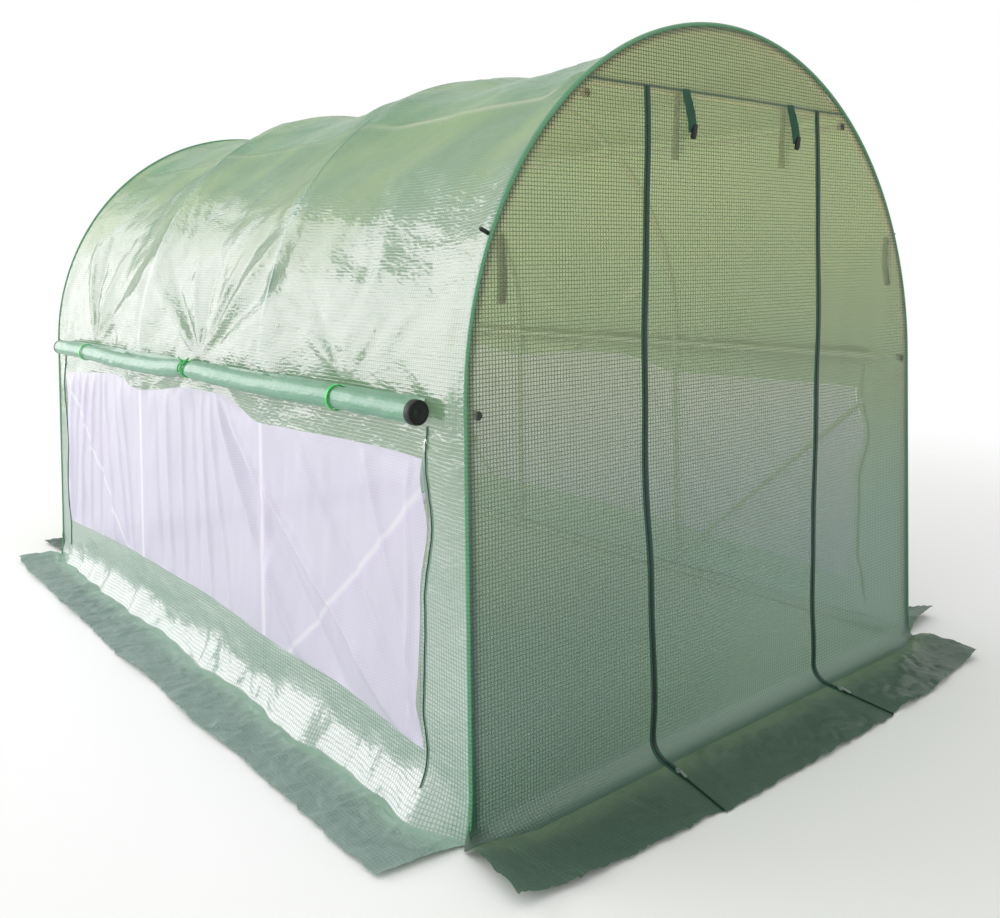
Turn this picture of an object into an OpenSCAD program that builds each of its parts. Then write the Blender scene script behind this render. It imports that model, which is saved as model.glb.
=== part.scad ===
// Walk-in polytunnel greenhouse: a tube frame of four hoops under a reinforced film cover,
// with a zipped roll-up door in the front wall and a rolled-up cover over a net window on each side.
// Millimetres, +Z up, ground at Z = 0, front wall towards -Y, origin at the middle of the floor.

/* [Tunnel] */
// Width over the hoops
tunnel_w = 2000; // [1600:50:2600]
// Length over the end hoops
tunnel_l = 3000; // [2400:50:4200]
// Height of the straight legs, where the arches spring
leg_h = 1000; // [900:10:1300]

/* [Frame tubes] */
// Diameter of the legs and arches
tube_d = 25; // [19:1:38]
// Diameter of the purlins that run along the tunnel
purlin_d = 22; // [16:1:28]
// Diameter of the ground rails
rail_d = 25; // [19:1:32]
// Diameter of the bar over the door
head_bar_d = 20; // [16:1:28]
// Diameter of the diagonal braces
brace_d = 19; // [12:1:25]
// Length of the plug in each purlin end
purlin_cap_l = 14; // [8:1:30]
// Drop of the side purlins below the arch spring
side_purlin_drop = 15; // [5:1:40]
// Gap between the head bar and the roof purlins under it
purlin_under_bar = 19; // [5:1:60]
// Drop of the brace tops below the side purlins
brace_drop = 50; // [35:1:120]
// Lift of the brace feet above the ground rails
brace_lift = 25; // [20:1:80]

/* [Cover] */
// Thickness of the cover sheets, net and skirts
cover_t = 2; // [1:0.5:4]
// Width of the skirts that lie on the ground
skirt_w = 250; // [150:10:400]

/* [Side windows] */
// Height of the window sills above the ground
sill_h = 170; // [100:10:300]
// Height of the top edges of the window nets
window_head_h = 880; // [600:10:890]
// Width of the cover between the front hoop's face and the nets
front_margin = 175; // [120:5:300]
// Width of the cover between the back hoop's face and the nets
back_margin = 110; // [80:5:300]
// Width of the window zips
window_zip_w = 10; // [6:1:20]
// Height of the lower ends of the window zips
window_zip_foot = 70; // [40:5:95]
// Thickness of all zips
zip_t = 3; // [2:0.5:5]

/* [Window rolls] */
// Diameter of a rolled-up window cover
roll_d = 66; // [50:1:90]
// Length of a rolled-up window cover
roll_l = 2690; // [1500:10:2700]
// Drop of the roll axes below the arch spring
roll_drop = 15; // [0:1:40]
// Diameter of the end caps of the roll cores
roll_cap_d = 62; // [40:1:80]
// Length of the end caps
roll_cap_l = 22; // [10:1:40]
// Distance between the two clips on a roll
clip_pitch = 2000; // [800:10:2200]
// Width of a clip along its roll
clip_w = 14; // [8:1:40]
// Thickness of a clip
clip_t = 4; // [2:0.5:8]
// Width of the tie in the middle of a roll
roll_tie_w = 8; // [4:1:20]

/* [Door] */
// Width of the door between its zips
door_w = 800; // [600:10:1000]
// Drop of the head bar, where the door ends, below the crown of the hoops
head_drop = 200; // [150:10:400]
// Width of the door zips
door_zip_w = 30; // [15:1:50]

/* [Straps] */
// Width of the tie straps
strap_w = 25; // [15:1:40]
// Distance between the two door straps
strap_pitch = 500; // [300:10:560]
// Length of the door straps outside the door
outer_strap_l = 120; // [80:5:200]
// Length of the door straps inside the door
inner_strap_l = 200; // [80:5:300]
// Length of the straps that hang from the front arch
hoop_strap_l = 160; // [80:5:250]
// Rise of the hoop straps' ties on the front arch above the arch spring
hoop_tie_rise = 400; // [330:10:500]
// Diameter of the strap toggles
toggle_d = 10; // [6:1:16]
// Length of the strap toggles
toggle_l = 30; // [15:1:50]

/* [Hidden] */
$fn = 96;

// Clearance between pieces that rest on each other
seat = 0.3;
// Hoops are numbered from the front, and bays lie between them
hoop_count = 4;
LEFT = -1;
RIGHT = 1;

half_w = tunnel_w / 2;
half_l = tunnel_l / 2;
hoop_r = half_w - tube_d / 2;
hoop_step = (tunnel_l - tube_d) / (hoop_count - 1);
function hoop_y(i) = -half_l + tube_d / 2 + i * hoop_step;

// Tubes that run along the tunnel lie against the inside of the hoops
function inside_hoop(d) = half_w - tube_d - d / 2 - seat;
side_purlin_z = leg_h - side_purlin_drop;
door_head_h = leg_h + half_w - head_drop;
roof_purlin_z = door_head_h - (head_bar_d + purlin_d) / 2 - purlin_under_bar;
roof_purlin_x = sqrt(pow(inside_hoop(purlin_d), 2) - pow(roof_purlin_z - leg_h, 2));
head_bar_half = sqrt(pow(hoop_r, 2) - pow(door_head_h - leg_h, 2)) + tube_d / 2;
head_bar_y = -half_l + tube_d + seat + head_bar_d / 2;
brace_top_z = side_purlin_z - brace_drop;
brace_foot_z = rail_d + brace_lift;

// The cover lies on the outside of the frame
cover_in = half_w + seat;
cover_out = cover_in + cover_t;
end_in = half_l + seat;
end_out = end_in + cover_t;
net_front = -half_l + front_margin;
net_back = half_l - back_margin;

roll_z = leg_h - roll_drop;
roll_x = cover_out + seat + roll_d / 2;
clip_r = roll_d / 2 + seat;
strap_t = cover_t;
inner_strap_y = head_bar_y - head_bar_d / 2 - seat - strap_t;
hoop_tie_x = sqrt(pow(hoop_r, 2) - pow(hoop_tie_rise, 2));
hoop_tie_angle = asin(hoop_tie_rise / hoop_r);

FRAME_COLOUR = "lightgray";
COVER_COLOUR = "darkseagreen";
SKIRT_COLOUR = "seagreen";
NET_COLOUR = "lavender";
ZIP_COLOUR = "darkslategray";
CAP_COLOUR = "black";
CLIP_COLOUR = "limegreen";

// Building blocks

// Round bar of diameter d from y0 to y1, along the tunnel
module bar_along(d, x, z, y0, y1) {
    translate([x, y1, z]) rotate([90, 0, 0]) cylinder(d = d, h = y1 - y0);
}

// Section across the tunnel from the ground to the crown, out from the hoops' outside by out
module tunnel_section(out) {
    translate([-half_w - out, 0]) square([tunnel_w + 2 * out, leg_h]);
    intersection() {
        translate([0, leg_h]) circle(r = half_w + out);
        translate([-tunnel_w, leg_h]) square([2 * tunnel_w, tunnel_w]);
    }
}

// Sheet of the given section, standing across the tunnel with its front face at y
module upright_sheet(y) {
    translate([0, y + cover_t, 0]) rotate([90, 0, 0]) linear_extrude(cover_t) children();
}

// Part of the end walls' section between x0 and x1 and between z0 and z1
module end_section(x0, x1, z0, z1) {
    intersection() {
        tunnel_section(cover_out - half_w);
        translate([x0, z0]) square([x1 - x0, z1 - z0]);
    }
}

// Flat sheet in a side wall between y0 and y1 and between z0 and z1
module side_sheet(side, y0, y1, z0, z1) {
    x = side == LEFT ? -cover_out : cover_in;
    translate([x, y0, z0]) cube([cover_t, y1 - y0, z1 - z0]);
}

// Frame

module legs(side) {
    color(FRAME_COLOUR)
        for (i = [0 : hoop_count - 1])
            translate([side * hoop_r, hoop_y(i), 0]) cylinder(d = tube_d, h = leg_h);
}

module arch(i) {
    color(FRAME_COLOUR)
        translate([0, hoop_y(i), leg_h]) rotate([90, 0, 0])
            rotate_extrude(angle = 180) translate([hoop_r, 0]) circle(d = tube_d);
}

module purlin(x, z) {
    y_end = half_l - purlin_cap_l;
    color(FRAME_COLOUR) bar_along(purlin_d, x, z, -y_end, y_end);
}

module side_purlin(side) {
    purlin(side * inside_hoop(purlin_d), side_purlin_z);
}

module roof_purlin(side) {
    purlin(side * roof_purlin_x, roof_purlin_z);
}

module purlin_caps() {
    color(CAP_COLOUR)
        for (side = [LEFT, RIGHT], y0 = [-half_l, half_l - purlin_cap_l]) {
            bar_along(purlin_d, side * inside_hoop(purlin_d), side_purlin_z, y0, y0 + purlin_cap_l);
            bar_along(purlin_d, side * roof_purlin_x, roof_purlin_z, y0, y0 + purlin_cap_l);
        }
}

module door_head_bar() {
    color(FRAME_COLOUR)
        translate([-head_bar_half, head_bar_y, door_head_h]) rotate([0, 90, 0])
            cylinder(d = head_bar_d, h = 2 * head_bar_half);
}

module ground_rail(side) {
    color(FRAME_COLOUR) bar_along(rail_d, side * inside_hoop(rail_d), rail_d / 2, -half_l, half_l);
}

module back_ground_rail() {
    reach = inside_hoop(rail_d) - rail_d / 2 - seat;
    color(FRAME_COLOUR)
        translate([-reach, half_l - tube_d - seat - rail_d / 2, rail_d / 2]) rotate([0, 90, 0])
            cylinder(d = rail_d, h = 2 * reach);
}

// One brace in each end bay, from the top of the end leg to the foot of the next one
module braces(side) {
    rise = brace_top_z - brace_foot_z;
    color(FRAME_COLOUR)
        for (towards = [-1, 1])
            translate([side * inside_hoop(brace_d), -towards * hoop_y(1), brace_foot_z])
                rotate([-towards * atan2(hoop_step, rise), 0, 0])
                    cylinder(d = brace_d, h = norm([hoop_step, rise]));
}

// Cover

// Roof sheet from the window head on one side, over the arch, to the other side
module bay_roof(y0, y1) {
    color(COVER_COLOUR)
        translate([0, y1, 0]) rotate([90, 0, 0]) linear_extrude(y1 - y0)
            difference() {
                tunnel_section(cover_out - half_w);
                tunnel_section(cover_in - half_w);
                translate([-tunnel_w, 0]) square([2 * tunnel_w, window_head_h]);
            }
}

module wall_margins(side) {
    color(COVER_COLOUR) {
        side_sheet(side, -end_in, net_front, 0, window_head_h);
        side_sheet(side, net_back, end_in, 0, window_head_h);
    }
}

module wall_sill(side) {
    color(COVER_COLOUR) side_sheet(side, net_front, net_back, 0, sill_h);
}

module window_net(side) {
    color(NET_COLOUR) side_sheet(side, net_front, net_back, sill_h, window_head_h);
}

module front_wall_side(side) {
    x0 = side == LEFT ? -cover_out : door_w / 2;
    color(COVER_COLOUR)
        upright_sheet(-end_out) end_section(x0, x0 + cover_out - door_w / 2, 0, door_head_h);
}

module front_wall_top() {
    crown = leg_h + cover_out;
    color(COVER_COLOUR)
        upright_sheet(-end_out) end_section(-cover_out, cover_out, door_head_h, crown);
}

module door_panel() {
    color(COVER_COLOUR) upright_sheet(-end_out) end_section(-door_w / 2, door_w / 2, 0, door_head_h);
}

module back_wall() {
    color(COVER_COLOUR) upright_sheet(end_in) tunnel_section(cover_out - half_w);
}

module side_skirt(side) {
    x = side == LEFT ? -cover_out - skirt_w : cover_out;
    color(SKIRT_COLOUR) translate([x, -end_in, 0]) cube([skirt_w, 2 * end_in, cover_t]);
}

module back_skirt() {
    color(SKIRT_COLOUR) translate([-cover_out, end_out, 0]) cube([2 * cover_out, skirt_w, cover_t]);
}

module front_skirt(x0, x1) {
    color(SKIRT_COLOUR) translate([x0, -end_out - skirt_w, 0]) cube([x1 - x0, skirt_w, cover_t]);
}

module front_skirts() {
    front_skirt(-cover_out, -door_w / 2);
    front_skirt(door_w / 2, cover_out);
}

module door_skirt() {
    front_skirt(-door_w / 2, door_w / 2);
}

// Window rolls

module window_roll(side) {
    color(COVER_COLOUR) bar_along(roll_d, side * roll_x, roll_z, -roll_l / 2, roll_l / 2);
}

module roll_caps() {
    color(CAP_COLOUR)
        for (side = [LEFT, RIGHT], y0 = [-roll_l / 2 - roll_cap_l, roll_l / 2])
            bar_along(roll_cap_d, side * roll_x, roll_z, y0, y0 + roll_cap_l);
}

// C-shaped band of width w round a roll, centred at y, open where the roll touches the wall
module roll_band(side, y, w) {
    mouth = clip_r;
    difference() {
        bar_along(2 * (clip_r + clip_t), side * roll_x, roll_z, y - w / 2, y + w / 2);
        bar_along(2 * clip_r, side * roll_x, roll_z, y - w, y + w);
        translate([side * (roll_x - clip_r - mouth / 2), y, roll_z])
            cube([2 * mouth, 2 * w, 2 * mouth], center = true);
    }
}

module roll_clips() {
    color(CLIP_COLOUR)
        for (side = [LEFT, RIGHT], y = [-clip_pitch / 2, clip_pitch / 2])
            roll_band(side, y, clip_w);
}

module roll_ties() {
    color(CLIP_COLOUR)
        for (side = [LEFT, RIGHT])
            roll_band(side, 0, roll_tie_w);
}

// Zips, straps and toggles

// Each door zip runs down the wall and out along the slit in the skirt
module door_zips() {
    color(ZIP_COLOUR)
        for (side = [LEFT, RIGHT])
            translate([side * door_w / 2 - door_zip_w / 2, -end_out, cover_t]) {
                translate([0, -zip_t, 0]) cube([door_zip_w, zip_t, door_head_h - cover_t]);
                translate([0, -skirt_w, 0]) cube([door_zip_w, skirt_w, zip_t]);
            }
}

module window_zips() {
    zip_top = roll_z - roll_d / 2 - zip_t;
    color(ZIP_COLOUR)
        for (side = [LEFT, RIGHT], y0 = [net_front - 2 * window_zip_w, net_back + window_zip_w])
            translate([side == LEFT ? -cover_out - zip_t : cover_out, y0, window_zip_foot])
                cube([zip_t, window_zip_w, zip_top - window_zip_foot]);
}

// Strap with its front face at y that hangs down by l from the point x, z
module strap(x, y, z, l) {
    translate([x - strap_w / 2, y, z - l]) cube([strap_w, strap_t, l]);
}

module tie_straps() {
    color(ZIP_COLOUR)
        for (side = [LEFT, RIGHT]) {
            strap(side * strap_pitch / 2, -end_out - strap_t, door_head_h, outer_strap_l);
            strap(side * strap_pitch / 2, inner_strap_y, door_head_h + head_bar_d / 2, inner_strap_l);
            strap(side * hoop_tie_x, -half_l + tube_d + seat, leg_h + hoop_tie_rise, hoop_strap_l);
        }
}

module strap_toggles() {
    color(CAP_COLOUR)
        for (side = [LEFT, RIGHT]) {
            translate([side * strap_pitch / 2, -end_out - strap_t - toggle_d / 2,
                       door_head_h - outer_strap_l])
                cylinder(d = toggle_d, h = toggle_l);
            translate([0, -half_l + tube_d / 2, leg_h])
                rotate([0, side * (90 - hoop_tie_angle), 0])
                    translate([0, 0, cover_out]) cylinder(d = toggle_d, h = toggle_l);
        }
}

legs(LEFT);  // left_legs
legs(RIGHT);  // right_legs
arch(0);  // front_arch
arch(1);  // second_arch
arch(2);  // third_arch
arch(3);  // back_arch
side_purlin(LEFT);  // left_side_purlin
side_purlin(RIGHT);  // right_side_purlin
roof_purlin(LEFT);  // left_roof_purlin
roof_purlin(RIGHT);  // right_roof_purlin
purlin_caps();
door_head_bar();
ground_rail(LEFT);  // left_ground_rail
ground_rail(RIGHT);  // right_ground_rail
back_ground_rail();
braces(LEFT);  // left_braces
braces(RIGHT);  // right_braces
bay_roof(-end_in, hoop_y(1));  // front_bay_roof
bay_roof(hoop_y(1), hoop_y(2));  // middle_bay_roof
bay_roof(hoop_y(2), end_in);  // back_bay_roof
wall_margins(LEFT);  // left_wall_margins
wall_margins(RIGHT);  // right_wall_margins
wall_sill(LEFT);  // left_wall_sill
wall_sill(RIGHT);  // right_wall_sill
window_net(LEFT);  // left_window_net
window_net(RIGHT);  // right_window_net
front_wall_side(LEFT);  // front_wall_left
front_wall_side(RIGHT);  // front_wall_right
front_wall_top();
door_panel();
back_wall();
side_skirt(LEFT);  // left_skirt
side_skirt(RIGHT);  // right_skirt
back_skirt();
front_skirts();
door_skirt();
window_roll(LEFT);  // left_window_roll
window_roll(RIGHT);  // right_window_roll
roll_caps();
roll_clips();
roll_ties();
door_zips();
window_zips();
tie_straps();
strap_toggles();
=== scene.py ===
import math

import bmesh
import bpy
import numpy as np
from mathutils import Matrix


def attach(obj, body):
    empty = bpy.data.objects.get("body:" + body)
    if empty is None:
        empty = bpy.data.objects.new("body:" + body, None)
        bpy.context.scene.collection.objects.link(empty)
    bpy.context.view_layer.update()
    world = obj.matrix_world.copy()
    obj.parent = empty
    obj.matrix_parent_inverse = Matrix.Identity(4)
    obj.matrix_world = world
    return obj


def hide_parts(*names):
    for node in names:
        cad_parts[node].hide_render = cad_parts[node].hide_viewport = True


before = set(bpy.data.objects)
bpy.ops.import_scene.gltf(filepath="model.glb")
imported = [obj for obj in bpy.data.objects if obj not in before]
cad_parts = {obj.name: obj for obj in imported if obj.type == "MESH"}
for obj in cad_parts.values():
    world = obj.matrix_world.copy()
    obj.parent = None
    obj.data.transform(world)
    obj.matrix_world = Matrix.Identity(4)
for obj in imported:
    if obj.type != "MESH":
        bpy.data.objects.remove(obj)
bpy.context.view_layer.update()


# Camera. The view was fitted to the tunnel's own straight lines: the eye is 1.33 m above the ground,
# off the front left corner, and the lens shift repeats a picture cropped low and to the left.
EYE = (-2.4187, -3.2352, 1.3347)
LENS_MM = 35.57
SENSOR_MM = 36.0
SHIFT = (0.0633, -0.169)


def set_up(thing, axes, place):
    """Puts a camera or lamp in the scene at place, with its right, up and back directions."""
    pose = np.eye(4)
    pose[:3, :3] = np.transpose(axes)
    pose[:3, 3] = place
    thing.matrix_world = Matrix(pose.tolist())
    bpy.context.scene.collection.objects.link(thing)


azimuth, elevation, roll = (math.radians(angle) for angle in (-37.655, 1.477, -0.876))
backward = np.array([math.sin(azimuth) * math.cos(elevation), -math.cos(azimuth) * math.cos(elevation),
                     math.sin(elevation)])
level = np.cross(-backward, (0, 0, 1))
level /= np.linalg.norm(level)
upward = np.cross(backward, level)
rightward = math.cos(roll) * level + math.sin(roll) * upward
upward = math.cos(roll) * upward - math.sin(roll) * level
lens = bpy.data.cameras.new("camera")
lens.lens, lens.sensor_width, lens.sensor_fit = LENS_MM, SENSOR_MM, "HORIZONTAL"
lens.shift_x, lens.shift_y = SHIFT
camera = bpy.data.objects.new("camera", lens)
set_up(camera, (rightward, upward, backward), EYE)
bpy.context.scene.camera = camera
bpy.context.scene.view_settings.view_transform = "Standard"


# Studio. A pale matte floor under a white surround, with a broad panel of light behind and off the left
# side, which the glossy flank mirrors, and a soft overhead panel.
def linear(code):
    """An sRGB hex colour as linear red, green, blue and 1."""
    parts = [int(code[i:i + 2], 16) / 255 for i in (1, 3, 5)]
    return tuple(c / 12.92 if c <= 0.04045 else ((c + 0.055) / 1.055) ** 2.4 for c in parts) + (1.0,)


def add_node(tree, kind, inputs=(), **settings):
    """Adds a node with its settings. Its inputs go by name or number, or in order. Each is set to a value or
    a hex colour, or linked to a socket or to a node's main output."""
    made = tree.nodes.new("ShaderNode" + kind)
    for name, value in settings.items():
        setattr(made, name, value)
    for name, value in inputs.items() if isinstance(inputs, dict) else enumerate(inputs):
        if isinstance(value, bpy.types.Node):
            value = value.outputs[2 if getattr(value, "data_type", "") == "RGBA" else 0]
        if isinstance(value, bpy.types.NodeSocket):
            tree.links.new(value, made.inputs[name])
        else:
            made.inputs[name].default_value = linear(value) if isinstance(value, str) else value
    return made


def new_material(name):
    """An empty node material, and its tree."""
    material = bpy.data.materials.new(name)
    material.use_nodes = True
    material.node_tree.nodes.clear()
    return material, material.node_tree


# The surround is white to look at. As light it is soft, and stronger from the left and above.
SURROUND_LIGHT = (0.42, 1.06)
LIT_FROM = (-0.90, -0.14, 0.42)
world = bpy.data.worlds.new("studio")
bpy.context.scene.world = world
world.use_nodes = True
sky = world.node_tree
sky.nodes.clear()
ray = add_node(sky, "LightPath").outputs
seen = add_node(sky, "Math", [ray["Is Camera Ray"], ray["Is Glossy Ray"]], operation="MAXIMUM")
seen = add_node(sky, "Math", [seen, ray["Is Transmission Ray"]], operation="MAXIMUM")
heading = add_node(sky, "TexCoord").outputs["Generated"]
towards = add_node(sky, "VectorMath", [heading, LIT_FROM], operation="DOT_PRODUCT").outputs["Value"]
soft = add_node(sky, "MapRange", [towards, -1.0, 1.0, *SURROUND_LIGHT])
strength = add_node(sky, "Mix", {0: seen, 2: soft, 3: 1.0}, data_type="FLOAT")
surround = add_node(sky, "Background", {"Color": "#ffffff", "Strength": strength})
add_node(sky, "OutputWorld", {"Surface": surround})


def light_panel(name, place, facing, size, power):
    """A rectangular panel of light at place, turned towards the point facing."""
    lamp = bpy.data.lights.new(name, "AREA")
    lamp.shape, lamp.size, lamp.size_y, lamp.energy = "RECTANGLE", size[0], size[1], power
    away = np.array(place, float) - np.array(facing, float)
    away /= np.linalg.norm(away)
    across = np.cross((0, 0, 1.0), away)
    across /= np.linalg.norm(across)
    set_up(bpy.data.objects.new(name, lamp), (across, np.cross(away, across), away), place)


light_panel("side_panel", (-4.9, 6.6, 3.0), (-1.0, 0.0, 2.4), (7.4, 6.0), 392)
light_panel("top_panel", (-0.5, -0.5, 6.5), (0.0, 0.0, 1.0), (7.0, 7.0), 45)

# The floor fades out a few metres from the tunnel, so that no horizon shows.
FLOOR_HALF = 9.0
FLOOR_FADES = (2.9, 5.5)
studio_floor, tree = new_material("matte_pale_floor")
place = add_node(tree, "TexCoord").outputs["Object"]
far = add_node(tree, "VectorMath", [place], operation="LENGTH").outputs["Value"]
fade = add_node(tree, "MapRange", [far, *FLOOR_FADES], interpolation_type="SMOOTHSTEP")
matte = add_node(tree, "BsdfPrincipled", {"Base Color": "#fafaf8", "Roughness": 0.9,
                                          "Specular IOR Level": 0.1})
shade = add_node(tree, "MixShader", [fade, matte, add_node(tree, "BsdfTransparent")])
add_node(tree, "OutputMaterial", {"Surface": shade})
floor_mesh = bpy.data.meshes.new("floor")
floor_mesh.from_pydata([(-FLOOR_HALF, -FLOOR_HALF, 0), (FLOOR_HALF, -FLOOR_HALF, 0),
                        (FLOOR_HALF, FLOOR_HALF, 0), (-FLOOR_HALF, FLOOR_HALF, 0)], [], [(0, 1, 2, 3)])
floor_mesh.materials.append(studio_floor)
floor = bpy.data.objects.new("floor", floor_mesh)
bpy.context.scene.collection.objects.link(floor)


# Frame. Galvanised steel tube: four hoops on straight legs, purlins and ground rails along the
# tunnel, a bar over the door and diagonal braces in the end bays, plugged and pushed together.
# Hot-dip zinc gives a pale satin grey with a faint mottle of crystals about 9 mm across.
SPANGLE = 0.009
galvanised_steel, tree = new_material("galvanised_steel_tube")
place = add_node(tree, "TexCoord").outputs["Object"]
spangle = add_node(tree, "TexVoronoi", {"Vector": place, "Scale": 1 / SPANGLE}).outputs["Color"]
zinc = add_node(tree, "Mix", {0: spangle, 6: "#dde1e0", 7: "#f4f6f5"}, data_type="RGBA")
satin = add_node(tree, "MapRange", {"Value": spangle, "To Min": 0.36, "To Max": 0.52})
shade = add_node(tree, "BsdfPrincipled", {"Base Color": zinc, "Metallic": 0.25, "Roughness": satin})
add_node(tree, "OutputMaterial", {"Surface": shade})


def dress(nodes, material):
    """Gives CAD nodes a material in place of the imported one."""
    for name in nodes:
        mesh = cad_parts[name].data
        mesh.materials.clear()
        mesh.materials.append(material)


dress(["left_legs", "right_legs", "front_arch", "second_arch", "third_arch", "back_arch",
       "left_side_purlin", "right_side_purlin", "left_roof_purlin", "right_roof_purlin",
       "door_head_bar", "left_ground_rail", "right_ground_rail", "back_ground_rail",
       "left_braces", "right_braces"], galvanised_steel)


# Purlin plugs. Moulded black polyethylene caps pushed into the ends of the purlins.
# Mould texture of about 1.5 mm gives a dull, slightly grained black.
GRAIN = 0.0015
black_polyethylene, tree = new_material("moulded_black_polyethylene")
place = add_node(tree, "TexCoord").outputs["Object"]
grain = add_node(tree, "TexNoise", {"Vector": place, "Scale": 1 / GRAIN, "Detail": 3.0})
soot = add_node(tree, "Mix", {0: grain, 6: "#0b0c0b", 7: "#1d1f1d"}, data_type="RGBA")
dull = add_node(tree, "MapRange", {"Value": grain, "To Min": 0.42, "To Max": 0.62})
raised = add_node(tree, "Bump", {"Height": grain, "Strength": 0.25, "Distance": 0.0004})
shade = add_node(tree, "BsdfPrincipled", {"Base Color": soot, "Roughness": dull, "Normal": raised})
add_node(tree, "OutputMaterial", {"Surface": shade})
dress(["purlin_caps"], black_polyethylene)


# Cover. One sheet of clear polyethylene film with a woven net of green threads inside, thrown over
# the hoops from the ground on the left to the ground on the right, with a window cut in each side.
# It lies tight on the hoops and sags between them onto the purlins.
LEG = 1.0
ARCH_R = 1.0013
GIRTH = 2 * LEG + math.pi * ARCH_R
END_Y = 1.5013
HOOP_Y = np.array([-1.4875, -0.49583, 0.49583, 1.4875])
TUBE_R = 0.0125
BEND_R = 0.055
FOOT_Z = 0.004
# where the window's front and back edges run, give or take their waves
WINDOW_Y = -1.314, 1.39


def ripples(u, v, wavelength, seed, stretch=1.0):
    """Smooth uneven waves of about unit height, the same on every run."""
    draw = np.random.default_rng(seed)
    total = np.zeros(np.broadcast(u, v).shape)
    for _ in range(9):
        angle = draw.uniform(0, math.pi)
        size = wavelength * draw.uniform(0.7, 1.5)
        phase = draw.uniform(0, 6.3)
        total += np.cos(2 * math.pi * (u * math.cos(angle) + stretch * v * math.sin(angle)) / size + phase)
    return total / 3


def waves(u, wavelength, seed):
    """Ripples along one line."""
    return ripples(u, 0 * u, wavelength, seed)


def eased(part):
    """0 to 1 with soft ends."""
    part = np.clip(part, 0, 1)
    return part * part * (3 - 2 * part)


def flowing(at, places, values):
    """Values between given places, eased so that the line has no kinks."""
    at = np.asarray(at, float)
    places, values = np.asarray(places, float), np.asarray(values, float)
    slot = np.clip(np.searchsorted(places, at) - 1, 0, len(places) - 2)
    part = eased((at - places[slot]) / (places[slot + 1] - places[slot]))
    return values[slot] + part * (values[slot + 1] - values[slot])


def spot(at, width, power=2):
    """1 at zero, falling off to nothing on both sides at about width."""
    return np.exp(-(np.abs(at) / width) ** power)


def crushed(u, v, size, seed):
    """Uneven sharp creases of crushed film, of about unit height."""
    bent_u = u + 0.40 * size * ripples(u, v, 2.4 * size, seed)
    bent_v = v + 0.40 * size * ripples(u, v, 1.9 * size, seed + 1)
    creases = np.abs(ripples(bent_u, bent_v, 1.9 * size, seed + 2))
    return creases + 0.5 * np.abs(ripples(bent_u, bent_v, 0.8 * size, seed + 3)) - 0.8


def window_head(y):
    """Height of the window's top edge, pulled up at the roll's ties and hanging between them."""
    return flowing(y, [-1.40, -1.08, -0.50, -0.16, 0.02, 0.50, 0.80, 1.45],
                   [0.862, 0.864, 0.855, 0.915, 0.915, 0.868, 0.902, 0.868])


def window_sill(y):
    """Height of the window's bottom edge."""
    return flowing(y, [-1.40, -0.80, 0.05, 0.48, 1.45], [0.148, 0.184, 0.214, 0.214, 0.184])


def window_front(z):
    """Where the window's front edge runs, along its wavy zip."""
    return flowing(z, [0.0, 0.15, 0.25, 0.51, 0.70, 0.84, 1.0],
                   [-1.316, -1.314, -1.296, -1.306, -1.342, -1.314, -1.330])


def window_back(z):
    """Where the window's back edge runs."""
    return flowing(z, [0.0, 0.15, 0.35, 0.60, 0.80, 1.0], [1.372, 1.372, 1.404, 1.388, 1.402, 1.396])


def window_shift(columns, up):
    """How far columns along the wall are moved to follow the window's wavy upright edges."""
    return (spot(columns - WINDOW_Y[0], 0.09) * (window_front(up) - WINDOW_Y[0])
            + spot(columns - WINDOW_Y[1], 0.06) * (window_back(up) - WINDOW_Y[1]))


def window_columns(*counts):
    """Places along a window, by their counts in its three bays, with one on each hoop between them."""
    stops = WINDOW_Y[0], HOOP_Y[1], HOOP_Y[2], WINDOW_Y[1]
    return np.unique(np.concatenate([np.linspace(*stops[i:i + 2], count) for i, count in enumerate(counts)]))


def in_bay(y):
    """0 on a hoop, rising to 1 in the middle of a bay, as a share of the half bay's length."""
    slot = np.clip(np.searchsorted(HOOP_Y, y) - 1, 0, len(HOOP_Y) - 2)
    along = (y - HOOP_Y[slot]) / (HOOP_Y[slot + 1] - HOOP_Y[slot])
    return np.clip(1 - np.abs(2 * along - 1), 0, 1)


# sag of the film in the middle of a bay, by its distance up and over from the ground
SAG_AT = [0.0, 0.18, 0.60, 0.90, 0.985, 1.12, 1.45, 1.70, 1.865, 1.909, 1.95, 2.15, 2.574]
SAG_BY = [0.002, 0.007, 0.010, 0.011, 0.012, 0.020, 0.036, 0.038, 0.036, 0.0245, 0.038, 0.044, 0.050]
# the roof purlin's distance up and over, how far it lies inside the cover, and where the bar over the
# door ends
PURLIN_AT = 1.909
PURLIN_IN = 0.0254
BAR_END = 1.936, -1.4647
TIE_AT = 1.03
TIE_Y = -0.04
# folds that the hanging roll pulls into the film: the tie's place along the wall, then for each fold
# its lean from upright, its length and its height
PULLED = {
    -0.98: [(60, 0.50, 0.011), (44, 0.40, -0.008), (-38, 0.26, 0.005), (6, 0.22, 0.003)],
    TIE_Y: [(64, 0.72, 0.017), (51, 0.62, -0.013), (-47, 0.95, 0.018), (-58, 0.80, -0.012),
            (-24, 0.60, 0.009), (26, 0.50, 0.008), (-35, 0.66, -0.009), (3, 0.42, -0.006),
            (108, 0.50, 0.012), (122, 0.34, -0.009), (-106, 0.55, 0.012), (-118, 0.42, -0.010),
            (-134, 0.24, 0.008)],
    1.00: [(34, 0.62, 0.014), (18, 0.50, -0.010), (-58, 0.66, 0.015), (-44, 0.56, -0.012),
           (-10, 0.50, 0.008)],
}


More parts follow.
